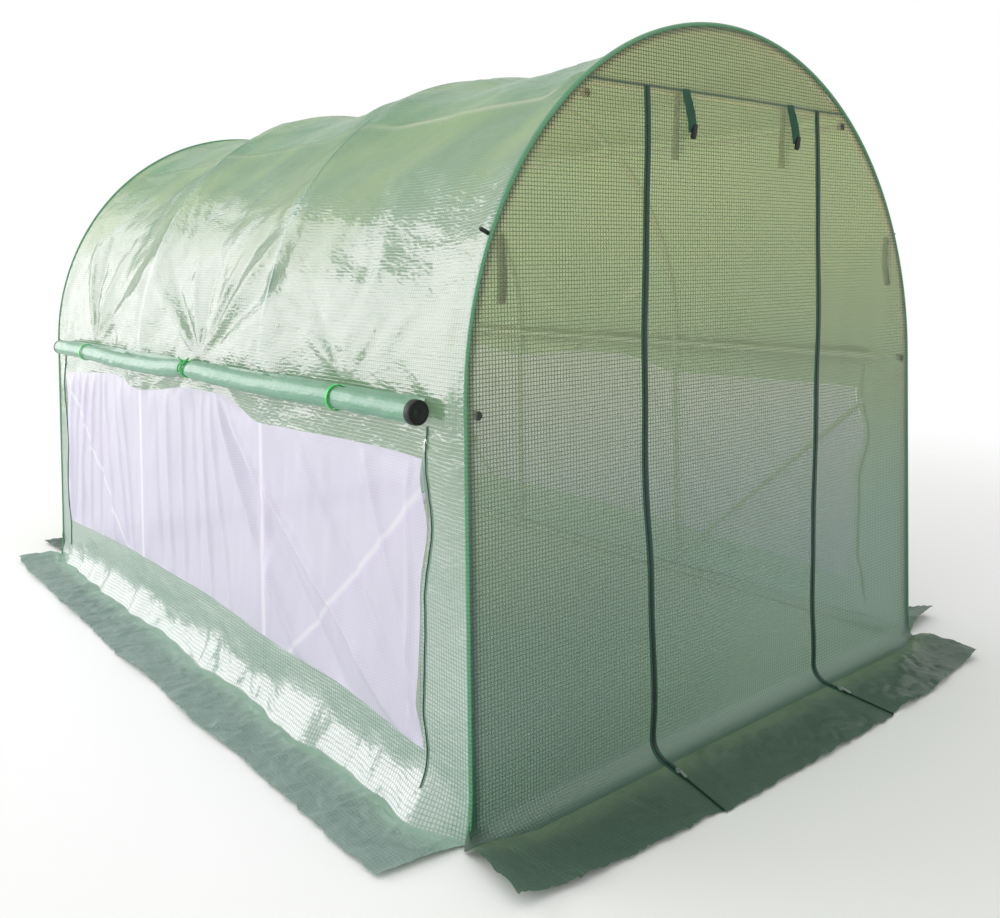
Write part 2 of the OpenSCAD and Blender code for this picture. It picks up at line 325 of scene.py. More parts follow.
def pulled_folds(along, up, seed):
    """Height of the folds that fan up from the roll's ties."""
    height = np.zeros(np.broadcast(along, up).shape)
    draw = np.random.default_rng(seed)
    for tie, fan in PULLED.items():
        for lean, reach, rise in fan:
            lean = math.radians(lean + draw.uniform(-3, 3))
            outward = (along - tie) * math.sin(lean) + (up - TIE_AT) * math.cos(lean)
            aside = (along - tie) * math.cos(lean) - (up - TIE_AT) * math.sin(lean)
            share = np.clip(outward / reach, 0, 1)
            width = 0.009 + 0.046 * np.clip(outward, 0, None)
            height += rise * np.sqrt(share) * (1 - share) * 2.7 * spot(aside, width, 1.15)
    return height


FOOT_LEAN = 0.66
FOOT_BEND = 0.012


def foot_slope(y, up):
    """How far the film leans out over the last hand's breadth above the ground, more in some places."""
    top = np.interp(y, [-END_Y, 0, END_Y], [0.088, 0.074, 0.062])
    top = top + 0.016 * waves(y, 0.70, 10) + 0.007 * waves(y, 0.20, 11)
    off_corner = 0.22 + 0.78 * eased((END_Y - np.abs(y)) / 0.16)
    return FOOT_LEAN * FOOT_BEND * np.logaddexp(0, (top - up) / FOOT_BEND) * off_corner


def up_from_ground(girth):
    """Distance up and over from the nearer side's ground."""
    return np.minimum(girth, GIRTH - girth)


def cover_out(girth, y):
    """How far the cover stands out from the hoops' outside, negative between them."""
    up = up_from_ground(girth)
    bay = in_bay(y)
    steep = 2 + 2.0 * spot(up - PURLIN_AT, 0.08)
    sag = np.interp(up, SAG_AT, SAG_BY) * (1 - (1 - bay) ** steep)
    loose = np.clip(bay / 0.12, 0, 1)
    slack = 0.0062 * ripples(girth, y, 0.50, 3, 0.8) + 0.0018 * ripples(girth, y, 0.16, 4, 0.8)
    slack = slack + 0.0034 * crushed(girth + 0.35 * y, 0.7 * y - 0.4 * girth, 0.20, 14)
    slack = slack + 0.0011 * crushed(girth, y, 0.09, 18)
    slack = slack * np.clip((up - 0.3) / 0.5, 0.35, 1)
    folds = np.where(girth < GIRTH / 2, pulled_folds(y, up, 5), pulled_folds(y, up, 6))
    on_foot = np.clip(up / 0.012, 0, 1) * spot(up, 0.125, 3)
    crumple = (0.0036 * crushed(y, 0.8 * up, 0.11, 7) + 0.0024 * crushed(y, up, 0.042, 9)) * on_foot
    crumple = crumple * (0.75 + 0.45 * waves(y, 0.8, 12))
    out = -sag + loose * (slack + folds) + crumple + foot_slope(y, up)
    out = np.maximum(out, -PURLIN_IN - 0.20 * np.abs(up - PURLIN_AT))
    from_bar_end = np.hypot(up - BAR_END[0], y - BAR_END[1])
    out = np.maximum(out, 0.0046 - 0.30 * np.clip(from_bar_end - 0.012, 0, None))
    aside = np.min(np.abs(y[..., None] - HOOP_Y), -1)
    on_tube = np.sqrt(np.clip(TUBE_R ** 2 - aside ** 2, 0, None)) - TUBE_R - 0.0005
    return np.where(aside < TUBE_R - 0.0001, np.maximum(out, on_tube), out)


def cover_place(girth, y, out):
    """Point of the cover at a distance over from the left ground, out from the hoops."""
    turn = np.clip((girth - LEG) / ARCH_R, 0, math.pi)
    stand = np.clip(up_from_ground(girth), FOOT_Z, LEG)
    radius = ARCH_R + out
    return np.stack([-radius * np.cos(turn), y + 0 * turn, stand + radius * np.sin(turn)], -1)


def add_piece(name, mesh):
    """A mesh as a piece of the scene that rides on the part, smooth all over."""
    mesh.polygons.foreach_set("use_smooth", [True] * len(mesh.polygons))
    piece = bpy.data.objects.new(name, mesh)
    bpy.context.scene.collection.objects.link(piece)
    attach(piece, "root")
    return piece


def sheet_piece(name, points, flat_uv, material, keep=None, backing_and_painted_light=None):
    """A sheet from a grid of points, with its flat pattern in metres as the UV map, and its painted light
    attribute.
    """
    count = np.arange(points.shape[0] * points.shape[1]).reshape(points.shape[:2])
    quads = np.stack([count[:-1, :-1], count[1:, :-1], count[1:, 1:], count[:-1, 1:]], -1)
    quads = quads.reshape(-1, 4) if keep is None else quads[keep]
    used, quads = np.unique(quads, return_inverse=True)
    quads = quads.reshape(-1, 4)
    mesh = bpy.data.meshes.new(name)
    mesh.from_pydata(points.reshape(-1, 3)[used].tolist(), [], quads.tolist())
    uv = mesh.uv_layers.new(name="metres")
    uv.data.foreach_set("uv", flat_uv.reshape(-1, 2)[used][quads.ravel()].ravel())
    if backing_and_painted_light is not None:
        mesh.attributes.new("backing_and_painted_light", "FLOAT", "POINT").data.foreach_set("value", backing_and_painted_light.ravel()[used])
    mesh.materials.append(material)
    return add_piece(name, mesh)


# The film is drawn with threads 10 mm apart and 3 mm wide, coarser than the real 8 mm and 1.5 mm, so
# that they show. Threads are denser and greener than the film between them, which lets light through.
THREAD_PITCH = 0.0100
THREAD_WIDTHS = 0.0032, 0.0026
# The film's streaks are painted light, paler bands standing in for soft folds lit from above. They run
# slantwise up the roof, over a metre long and about a hand's breadth wide.
STREAK_LEAN = math.radians(143)
STREAK_SIZE = 0.35, 1.1, 0.17
STREAKS_START = 1.2, 1.6
# Where it is stretched over a purlin, the film is painted white: a painted highlight of the ridge that
# catches the light. There the painted light attribute is below zero.
PAINTED_PURLIN_HIGHLIGHT = "#fbfbe6"
# It is crinkled all over, in creases longer along the tunnel, and grained. On the roof dust dulls it.
CRINKLE, GRAINED = 0.045, 0.008
DUST_STARTS = 1.60, 2.02
MIRRORED = 0.09, 0.20
GLEAM = "#fff0fb"


def flat_place(tree):
    """Where a point lies on its flat pattern, along and across, in metres."""
    pattern = add_node(tree, "UVMap", uv_map="metres")
    return add_node(tree, "SeparateXYZ", [pattern]).outputs


def threaded_film(name, films, threads, backed_painted_light, glows, shares, rough, shine, ribs=(0.03, 0.0),
                  painted_light_climb=(0.3, 1.7), tints=("#dcecd6", "#dcecd6"), creased=True):
    """Film with woven threads. Its colours: in the cells near the ground, up high and in the streaks there,
    on the threads lit and against the light, where its attribute is set, mostly painted shade, and shining
    through low and high. The low and high colours are painted light: the cover is painted paler low down and
    darker up
    high, and the walls are painted to glow yellow up high. The streaks are painted light as well. Its shares:
    glowing, clear in the cells and clear on the threads. Its shine: as new low down, and on the dusty roof.
    Its
    ribs: how far all threads stand up, and those along the tunnel besides. Its painted_light_climb: where low
    turns high. Its tints: what it gives to light that passes straight through, low and high."""
    material, tree = new_material(name)
    flat = flat_place(tree)
    lines = []
    for axis, width in enumerate(THREAD_WIDTHS):
        near = add_node(tree, "Math", [flat[axis], THREAD_PITCH / 2], operation="PINGPONG")
        lines.append(add_node(tree, "MapRange", [near, width * 0.3, width * 0.7, 1.0, 0.0]))
    weave = add_node(tree, "Math", lines, operation="MAXIMUM")
    place = add_node(tree, "TexCoord").outputs["Object"]
    height = add_node(tree, "SeparateXYZ", [place]).outputs["Z"]
    slanting = add_node(tree, "Mapping", {0: place, 2: (STREAK_LEAN, 0, 0), 3: STREAK_SIZE},
                        vector_type="TEXTURE")
    cloud = add_node(tree, "TexNoise", {"Vector": slanting, "Scale": 1.0, "Detail": 2.0})
    # Painted light: colours, glows and tints turn from the low ones to the high ones with height.
    high = add_node(tree, "MapRange", [height, *painted_light_climb], interpolation_type="SMOOTHSTEP")
    streaky = add_node(tree, "MapRange", [cloud, 0.43, 0.62])
    aloft = add_node(tree, "MapRange", [height, *STREAKS_START])
    # Painted light: paler streaks up on the roof, for soft folds that catch the light.
    painted_streak_light = add_node(tree, "Math", [streaky, aloft], operation="MULTIPLY")
    # This attribute carries painted light: above zero it mixes in the colour given for it, on the cover and
    # the walls a painted shade, and below zero a painted white highlight.
    backing_and_painted_light = add_node(tree, "Attribute", attribute_name="backing_and_painted_light").outputs["Fac"]
    painted_purlin_highlight = add_node(tree, "MapRange", [backing_and_painted_light, 0.0, -1.0])
    film = add_node(tree, "Mix", {0: high, 6: films[0], 7: films[1]}, data_type="RGBA")
    for share, colour in ((painted_streak_light, films[2]), (weave, threads[0]), (backing_and_painted_light, backed_painted_light), (painted_purlin_highlight, PAINTED_PURLIN_HIGHLIGHT)):
        film = add_node(tree, "Mix", {0: share, 6: film, 7: colour}, data_type="RGBA")
    relief = add_node(tree, "Math", [weave, ribs[0]], operation="MULTIPLY")
    relief = add_node(tree, "Math", [lines[1], ribs[1], relief], operation="MULTIPLY_ADD")
    if creased:
        lying = add_node(tree, "Mapping", {0: place, 3: (1.0, 0.45, 1.0)})
        crinkle = add_node(tree, "TexNoise", {"Vector": lying, "Scale": 1 / CRINKLE, "Detail": 1.0})
        grained = add_node(tree, "TexNoise", {"Vector": lying, "Scale": 1 / GRAINED, "Detail": 0.0})
        relief = add_node(tree, "Math", [crinkle, relief], operation="ADD")
        relief = add_node(tree, "Math", [grained, 0.36, relief], operation="MULTIPLY_ADD")
    raised = add_node(tree, "Bump", {"Height": relief, "Strength": 0.55, "Distance": 0.006})
    dulled = add_node(tree, "MapRange", {"Value": cloud, "To Min": rough - 0.04, "To Max": rough + 0.08})
    skin = add_node(tree, "BsdfPrincipled", {"Base Color": film, "Roughness": dulled,
                                             "Specular IOR Level": 0.25, "Normal": raised})
    glow = add_node(tree, "Mix", {0: high, 6: glows[0], 7: glows[1]}, data_type="RGBA")
    glow = add_node(tree, "Mix", {0: weave, 6: glow, 7: threads[1]}, data_type="RGBA")
    through = add_node(tree, "BsdfTranslucent", {"Color": glow, "Normal": raised})
    unbacked = add_node(tree, "MapRange", {"Value": backing_and_painted_light, "To Min": 1.0, "To Max": 0.0})
    glowing = add_node(tree, "Math", [unbacked, shares[0]], operation="MULTIPLY")
    shade = add_node(tree, "MixShader", [glowing, skin, through])
    if shares[1] > 0:
        tint = add_node(tree, "Mix", {0: high, 6: tints[0], 7: tints[1]}, data_type="RGBA")
        window = add_node(tree, "BsdfTransparent", {"Color": tint})
        clear = add_node(tree, "MapRange", {"Value": weave, "To Min": shares[1], "To Max": shares[2]})
        clear = add_node(tree, "Math", [clear, unbacked], operation="MULTIPLY")
        shade = add_node(tree, "MixShader", [clear, shade, window])
    edge_on = add_node(tree, "LayerWeight", {"Blend": 0.5, "Normal": raised}).outputs["Facing"]
    edge_on = add_node(tree, "Math", [edge_on, 5.0], operation="POWER")
    mirrored = add_node(tree, "MapRange", {"Value": edge_on, "To Min": MIRRORED[0], "To Max": MIRRORED[1]})
    dusty = add_node(tree, "Math", [cloud, 0.5, height], operation="MULTIPLY_ADD")
    dusty = add_node(tree, "MapRange", [dusty, *DUST_STARTS, *shine])
    shining = add_node(tree, "Math", [mirrored, dusty], operation="MULTIPLY")
    gleam = add_node(tree, "BsdfGlossy", {"Color": GLEAM, "Roughness": rough - 0.08, "Normal": raised})
    shade = add_node(tree, "MixShader", [shining, shade, gleam])
    add_node(tree, "OutputMaterial", {"Surface": shade})
    return material


def dense_film(name, films, threads, backed_painted_light, glowing, rough, shine):
    """Threaded film in layers or on the ground, not clear, which glows a little in its threads' colour."""
    return threaded_film(name, films, threads, backed_painted_light, (threads[1],) * 2, (glowing, 0.0, 0.0), rough,
                         (shine, shine))


# Painted light: the cover is painted near white low down, where the flank shines, and darker green up high.
cover_film = threaded_film("green_threaded_film", ("#e4f0f0", "#769d7b", "#c8d494"), ("#a8cab2", "#a8cab2"),
                           "#3f8059", ("#e0eeec", "#b2cc9e"), (0.60, 0.0, 0.0), 0.21, (1.36, 0.10),
                           (0.02, 0.06), (0.25, 1.10))

beside_hoops = [hoop + step for hoop in HOOP_Y[1:3] for step in (-0.009, -0.005, 0.005, 0.009)]
cols = np.unique(np.concatenate([
    np.linspace(-END_Y, HOOP_Y[0], 3), np.linspace(HOOP_Y[0], WINDOW_Y[0], 15), window_columns(68, 81, 74),
    beside_hoops, np.linspace(WINDOW_Y[1], HOOP_Y[3], 9), np.linspace(HOOP_Y[3], END_Y, 3)]))
LOW_ROWS, WINDOW_ROWS, HEAD_ROWS, ARCH_ROWS = 22, 52, 14, 200
HEAD_STRIP = 1.06
# heights of the rows on one side, from the ground to just over the arch spring
sill, head = window_sill(cols), window_head(cols)
low, part, strip = (np.linspace(0, 1, count + 1)[:, None] for count in (LOW_ROWS, WINDOW_ROWS, HEAD_ROWS))
side_up = np.concatenate([low * sill, sill + part[1:] * (head - sill),
                          head + strip[1:] * (HEAD_STRIP - head)])
arch_up = np.linspace(HEAD_STRIP, GIRTH - HEAD_STRIP, ARCH_ROWS + 1)[1:-1, None] + 0 * cols
girth = np.concatenate([side_up, arch_up, GIRTH - side_up[::-1]])
rise = up_from_ground(girth)
along = cols + window_shift(cols, rise) * (1 - np.clip((rise - 0.95) / 0.25, 0, 1))
points = cover_place(girth, along, cover_out(girth, along))
keep = np.ones((girth.shape[0] - 1, girth.shape[1] - 1), bool)
window_rows = slice(LOW_ROWS, LOW_ROWS + WINDOW_ROWS)
window_cols = slice(*np.searchsorted(cols, WINDOW_Y))
keep[window_rows, window_cols] = False
keep[::-1][window_rows, window_cols] = False
# Painted light on the film. Along the hoops it is painted dark green, a painted shade of the tube behind it,
# stronger up the flank. Above the roof purlins, over the top of the roof, it is painted darker, a painted
# shade.
# Along the roof purlins it is painted white, a painted highlight.
hoop_away = np.min(np.abs(along[..., None] - HOOP_Y), -1)
on_hoop = 0.80 * spot(hoop_away, 0.0115, 4) * (0.2 + 0.8 * eased((rise - 0.9) / 0.4))
painted_crest_shade = eased((rise - PURLIN_AT - 0.010) / 0.035) * (0.44 + 0.10 * ripples(girth, along, 0.30, 23, 0.3))
# Painted highlight: white along the roof purlins, strongest in the front bay.
painted_purlin_highlight = spot(rise - PURLIN_AT, 0.011) * flowing(along, [-1.46, -1.36, -0.85, -0.55, 0.3, 1.45],
                                               [0.0, 0.9, 0.9, 0.35, 0.45, 0.2])
backing_and_painted_light = np.maximum(on_hoop, painted_crest_shade) - painted_purlin_highlight
cover = sheet_piece("cover", points, np.stack([along, girth], -1), cover_film, keep, backing_and_painted_light)
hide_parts("front_bay_roof", "middle_bay_roof", "back_bay_roof", "left_wall_margins",
            "right_wall_margins", "left_wall_sill", "right_wall_sill")


# Window nets. Fine white insect mesh sewn into the window openings, slack between the hoops, so that
# it hangs in long soft folds from the window head and is pulled slantwise in the front bay.
# The mesh holes are about 0.8 mm, far too fine to show: it reads as a sheer white cloth with a
# lavender cast, drawn with threads 8 mm apart.
NET_PITCH = 0.008
NET_GLOWS = 0.30
NET_CLEAR = 0.17, 0.12
insect_net, tree = new_material("white_insect_mesh")
flat = flat_place(tree)
lines = [add_node(tree, "Math", [flat[axis], NET_PITCH / 2], operation="PINGPONG") for axis in (0, 1)]
near = add_node(tree, "Math", lines, operation="MINIMUM")
yarn = add_node(tree, "MapRange", [near, 0.0, NET_PITCH / 4, 1.0, 0.0])
backed_painted_light = add_node(tree, "Attribute", attribute_name="backing_and_painted_light").outputs["Fac"]
cloth = add_node(tree, "Mix", {0: yarn, 6: "#ece2fc", 7: "#f0e7fd"}, data_type="RGBA")
# Where the attribute is set, the net is painted opaque white: a painted highlight of the lit tube behind it.
cloth = add_node(tree, "Mix", {0: backed_painted_light, 6: cloth, 7: "#ffffff"}, data_type="RGBA")
woven = add_node(tree, "BsdfPrincipled", {"Base Color": cloth, "Roughness": 0.42, "Specular IOR Level": 0.5})
through = add_node(tree, "BsdfTranslucent", {"Color": "#ebe4fd"})
woven = add_node(tree, "MixShader", [NET_GLOWS, woven, through])
clear = add_node(tree, "MapRange", {"Value": yarn, "To Min": NET_CLEAR[0], "To Max": NET_CLEAR[1]})
unbacked = add_node(tree, "MapRange", {"Value": backed_painted_light, "To Min": 1.0, "To Max": 0.0})
clear = add_node(tree, "Math", [clear, unbacked], operation="MULTIPLY")
shade = add_node(tree, "MixShader", [clear, woven, add_node(tree, "BsdfTransparent")])
add_node(tree, "OutputMaterial", {"Surface": shade})

# folds of the net: place at the head, place at the sill, width and height
NET_FOLDS = [(1.31, 1.37, 0.014, 0.010), (1.22, 1.33, 0.012, -0.008), (1.14, 1.24, 0.013, 0.010),
             (1.03, 1.12, 0.014, 0.009), (0.96, 0.98, 0.011, -0.007), (0.92, 0.80, 0.016, 0.010),
             (0.80, 0.66, 0.014, -0.008), (0.70, 0.60, 0.012, 0.007),
             (0.36, 0.30, 0.012, -0.006), (0.24, 0.21, 0.016, 0.009), (0.12, 0.10, 0.013, 0.008),
             (0.02, -0.02, 0.014, -0.007), (-0.06, -0.12, 0.012, 0.008), (-0.12, -0.26, 0.016, 0.008),
             (-0.15, -0.72, 0.030, 0.014), (-0.17, -0.94, 0.050, -0.014), (-0.20, -1.20, 0.034, 0.012),
             (-0.70, -1.30, 0.030, -0.008), (-1.05, -1.34, 0.022, 0.008), (-1.27, -1.25, 0.012, 0.006)]
NET_IN = 0.024
NET_ROWS = 90
BRACE_ENDS = 0.935, 0.05


def net_out(y, z, seed):
    """How far the net stands out from the hoops, negative where it is slack."""
    sill, head = window_sill(y), window_head(y)
    up = np.clip((z - sill) / (head - sill), 0, 1)
    bay = in_bay(y)
    free = np.clip(bay / 0.10, 0, 1) * (1 - (2 * up - 1) ** 8)
    height = np.zeros(y.shape)
    for top, bottom, width, rise in NET_FOLDS:
        height += rise * spot(y - bottom - (top - bottom) * up, width, 1.5)
    height += 0.003 * ripples(y, z, 0.30, seed, 0.4) + 0.0012 * ripples(y, z, 0.07, seed + 1, 0.25)
    edge = np.clip(cover_out(z, y), -0.03, 0.03)
    return np.maximum(edge * (1 - free) + free * (1.25 * height - 0.008 * bay), -NET_IN)


part = np.linspace(0, 1, NET_ROWS + 1)[:, None]
net_cols = window_columns(105, 125, 115)
along = net_cols + 0 * part
for _ in range(3):
    rise = window_sill(along) + part * (window_head(along) - window_sill(along))
    along = net_cols + window_shift(net_cols, rise)
brace_run = np.array([HOOP_Y[1] - HOOP_Y[0], BRACE_ENDS[1] - BRACE_ENDS[0]])
brace_run /= np.linalg.norm(brace_run)
from_brace = (np.abs(along) + HOOP_Y[0]) * brace_run[1] + (rise - BRACE_ENDS[0]) * brace_run[0]
# Painted highlight: the net is painted white over the two middle hoops and the end bays' braces behind it.
net_painted_tube_light = np.maximum(0.8 * spot(np.abs(along) - HOOP_Y[2], 0.0105, 4), 0.6 * spot(from_brace, 0.008, 4))
for side, girth, seed in (("left", rise, 21), ("right", GIRTH - rise, 24)):
    points = cover_place(girth, along, net_out(along, rise, seed))
    pattern = np.stack([along, rise], -1)
    net = sheet_piece(f"{side}_window_net", points, pattern, insect_net, None, net_painted_tube_light)
    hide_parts(f"{side}_window_net")


# Front and back walls. Flat panels of the same threaded film, heat-welded to the cover along the
# arch, slightly slack; the front one is split by two zips into the door between its two sides.
# At the ground the film bends outwards and lies down as a skirt. Lit from behind, it glows yellow-green up
# high, a glow painted into its colours, and its threads show as a dark grid.
wall_film = threaded_film("green_threaded_wall_film", ("#6f8a88", "#faf2bc", "#fff0b0"),
                          ("#445a46", "#c2caa2"), "#1f4a33", ("#bed4d4", "#fff8c8"), (0.52, 0.58, 0.03), 0.30,
                          (0.2, 0.15), (0.05, 0.0), tints=("#d0e0e6", "#fffae0"), creased=False)
HEAD_Z = 1.80
BAR_HALF = 0.59
FRONT, BACK = -1, 1
FRONT_SEED, BACK_SEED = 31, 34
FOOT_ROWS = 9
lean = np.linspace(math.pi / 2, 0, FOOT_ROWS)
foot_z, foot_out = FOOT_Z + BEND_R * (1 - np.sin(lean)), BEND_R * (1 - np.cos(lean))


def left_zip(z):
    """Where the door's left zip runs across the wall; the slack film lets it wander."""
    return flowing(z, [0.0, 0.15, 0.43, 0.70, 1.10, 1.50, 1.80],
                   [-0.374, -0.364, -0.373, -0.384, -0.379, -0.373, -0.370])


def right_zip(z):
    """Where the door's right zip runs."""
    return flowing(z, [0.0, 0.19, 0.41, 0.89, 1.36, 1.80], [0.399, 0.402, 0.409, 0.424, 0.437, 0.449])


def inside_arch(x, z):
    """How far a point of an end wall lies inside the arch."""
    return ARCH_R - np.hypot(x, np.clip(z - LEG, 0, None))


def wall_slack(x, z, seed):
    """How far an end wall bellies out from its plane."""
    held = np.clip(inside_arch(x, z) / 0.10, 0, 1) * np.clip((z - 0.02) / 0.15, 0, 1)
    return held * (0.006 * ripples(x, z, 0.8, seed, 0.7) + 0.0016 * ripples(x, z, 0.18, seed + 1, 0.5))


def half_width(z):
    """Half the width of an end wall at a height."""
    return np.sqrt(np.clip(ARCH_R ** 2 - np.clip(z - LEG, 0, None) ** 2, 0, None))


def left_edge(z):
    """An end wall's left edge."""
    return -half_width(z)


def left_front_edge(z):
    """The front wall's left edge, which spreads over the corner at its foot."""
    return left_edge(z) - 0.040 * np.clip(1 - z / 0.09, 0, 1) ** 2


def from_corner(x):
    """The share of its bend that an end wall's foot has, less towards the corners."""
    return 0.30 + 0.70 * eased((ARCH_R - np.abs(x)) / 0.16)


def wall_grid(x_from, x_to, z_rows, columns, facing, seed):
    """Points and flat pattern of part of an end wall between two upright edges, given by height."""
    z, bend = z_rows[:, None], 0 * z_rows[:, None]
    if z_rows[0] < HEAD_Z:
        z, bend = np.concatenate([foot_z, z_rows])[:, None], np.concatenate([foot_out, 0 * z_rows])[:, None]
    x = x_from(z) + np.linspace(0, 1, columns + 1) * (x_to(z) - x_from(z))
    z, bend = z + 0 * x, bend * from_corner(x)
    out = END_Y + bend + wall_slack(x, z, seed)
    return np.stack([x, facing * out, z], -1), np.stack([x, z - bend], -1)


def wall_backing_and_painted_shade(points):
    """Painted shade on an end wall: it is painted darker along the hoop at its edge, along the bar over the
    door, at the ground, above the door on the front and towards the lower left of the front.
    """
    x, z, front = points[..., 0], points[..., 2], points[..., 1] < 0
    # Each term is painted shade: by the bar over the door, at the ground, above the door and low on the left.
    bar_painted_shade = 0.95 * (np.abs(x) < BAR_HALF) * front * spot(z - HEAD_Z, 0.0065, 4)
    laid = 0.55 * np.clip(1 - z / 0.05, 0, 1) ** 1.5
    painted_crown_shade = 0.28 * (z > HEAD_Z) * front
    painted_low_left_shade = 0.36 * eased((0.35 - x) / 1.1) * eased((0.95 - z) / 0.6) * front
    return np.max([0.75 * spot(inside_arch(x, z), 0.024, 4), bar_painted_shade, laid, painted_crown_shade, painted_low_left_shade], 0)


wall_rows = np.concatenate([np.linspace(FOOT_Z + BEND_R, LEG, 52)[1:], np.linspace(LEG, 1.78, 43)[1:],
                            [1.787, 1.792, 1.796, HEAD_Z]])
crown_from = math.asin((HEAD_Z + 0.012 - LEG) / ARCH_R)
crown_rows = np.concatenate([[HEAD_Z, 1.804, 1.808],
                             LEG + ARCH_R * np.sin(np.linspace(crown_from, math.pi / 2, 22))])
for name, edges, rows, columns, flat, area in (
        ("front_wall_left", (left_front_edge, left_zip), wall_rows, 36, (0.60, 1.84), 1.02),
        ("front_wall_right", (right_zip, half_width), wall_rows, 36, (0.60, 1.84), 1.02),
        ("front_wall_top", (left_edge, half_width), crown_rows, 72, (1.21, 0.20), 0.17),
        ("door_panel", (left_zip, right_zip), wall_rows, 50, (0.80, 1.84), None)):
    points, pattern = wall_grid(*edges, rows, columns, FRONT, FRONT_SEED)
    panel = sheet_piece(name, points[::-1], pattern[::-1], wall_film, None, wall_backing_and_painted_shade(points)[::-1])
    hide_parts(name)

back_rows = np.concatenate([wall_rows, crown_rows[1:]])
points, pattern = wall_grid(left_edge, half_width, back_rows, 130, BACK, BACK_SEED)
back_wall = sheet_piece("back_wall", points, pattern, wall_film, None, wall_backing_and_painted_shade(points))
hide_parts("back_wall")


# Skirts. The film's loose lower edge, laid flat on the ground round the tunnel for soil or stones.
# The edge is cut by hand, a little uneven, and the film keeps creases from its folding. With the ground
# behind it, it doesn't glow and looks a dull grey green. Its light is painted: the left skirt is painted
# lighter, as lit, and the right, front and back skirts darker, as in shade.
lit_skirt_film = dense_film("green_threaded_skirt_painted_lit", ("#8ca69c",) * 3, ("#7c978b", "#7f9a86"),
                             "#a3c3ae", 0.15, 0.36, 0.5)
shaded_skirt_film = dense_film("green_threaded_skirt_painted_shade", ("#586f61",) * 3, ("#4a6153", "#5f7a66"),
                              "#6f866b", 0.15, 0.38, 0.2)
SKIRT_ROWS = 26
SKIRT_STEP = 0.009


def skirt_grid(ends, seed, reach, begin, curl=(0.0, 0.0), zipped_at=()):
    """Along and outward places and heights of a skirt's points, with its flat pattern and how near it lies to
    the wall, where it is drawn paler. Ends gives the near and far place of each end, reach the edge's
    distance from the wall, begin where the skirt starts and curl how far its ends rise; it lies flat along
    the zips."""
    (near_start, far_start), (near_end, far_end) = ends
    count = int((far_end - far_start) / SKIRT_STEP) + 1
    share = np.linspace(0, 1, SKIRT_ROWS + 1)[:, None]
    start, end = near_start + share * (far_start - near_start), near_end + share * (far_end - near_end)
    along = start + np.linspace(0, 1, count) * (end - start)
    brim = along[-1:, :]
    edge = reach(brim) + 0.006 * waves(brim, 0.45, seed) + 0.0016 * waves(brim, 0.05, seed + 1)
    edge = edge + 0.003 * np.abs(waves(brim, 0.13, seed + 5)) + 0.0014 * waves(brim, 0.024, seed + 6)
    outward = begin(along) + share * (edge - begin(along))
    creases = 0.0050 * (crushed(along, 0.75 * outward, 0.085, seed + 2) + 0.8)
    creases = creases + 0.0028 * (crushed(along + 0.3 * outward, 0.9 * outward, 0.040, seed + 3) + 0.8)
    lift = 0.008 * share ** 3 * np.clip(waves(brim, 0.30, seed + 4), 0, 1)
    loose = np.ones_like(along)
    for at in zipped_at:
        loose = loose * (1 - spot(along - (start if at == "start" else end), 0.05))
    curled = spot(along - start, 0.06) * curl[0] + spot(along - end, 0.06) * curl[1]
    height = FOOT_Z + loose * (np.clip(share / 0.15, 0, 1) * creases + lift)
    height = height + curled * np.clip(share / 0.3, 0, 1)
    return along, outward, height, np.stack([along, outward], -1), spot(share, 0.26) + 0 * along


def ends_join(parts):
    """Several grids of one width as one: each part's points, patterns and so on, and the faces to keep."""
    joined = [np.concatenate(kind, 1) for kind in zip(*parts)]
    keep = np.ones((joined[0].shape[0] - 1, joined[0].shape[1] - 1), bool)
    seam = -1
    for part in parts[:-1]:
        seam += part[0].shape[1]
        keep[:, seam] = False
    return *joined, keep


def skirt_points(wall, along, outward, height):
    """Points of the skirt of one wall, from places along it and outward from it."""
    if wall in ("left", "right"):
        return np.stack([(-1 if wall == "left" else 1) * (ARCH_R + outward), along, height], -1)
    return np.stack([along, (-1 if wall == "front" else 1) * (END_Y + outward), height], -1)


def lay_skirt(name, film, wall, runs):
    """A skirt of one or more runs at the foot of a wall."""
    parts = [(skirt_points(wall, *run[:3]), *run[3:]) for run in runs]
    points, pattern, near_wall, keep = ends_join(parts)
    order = slice(None, None, 1 if wall in ("left", "back") else -1)
    piece = sheet_piece(name, points[order], pattern[order], film, keep[order], near_wall[order])
    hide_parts(name)


def side_reach(y):
    """How far a side skirt's edge lies from the wall."""
    return flowing(y, [-1.5, -0.9, 0.0, 0.8, 1.5], [0.244, 0.246, 0.236, 0.224, 0.200])


def front_reach(x):
    """How far the front skirts' edge lies from the wall."""
    return flowing(x, [-1.07, -0.85, -0.54, -0.15, 0.15, 0.59, 0.98],
                   [0.243, 0.255, 0.282, 0.296, 0.290, 0.274, 0.250])


def back_reach(x):
    """How far the back skirt's edge lies from the wall."""
    return 0.246 + 0 * x


def side_begin(y):
    """Where a side skirt starts, at the foot of the leaning film."""
    return foot_slope(y, 0 * y)


def end_begin(x):
    """Where a front or back skirt starts, at the end of the bend."""
    return BEND_R * from_corner(x)


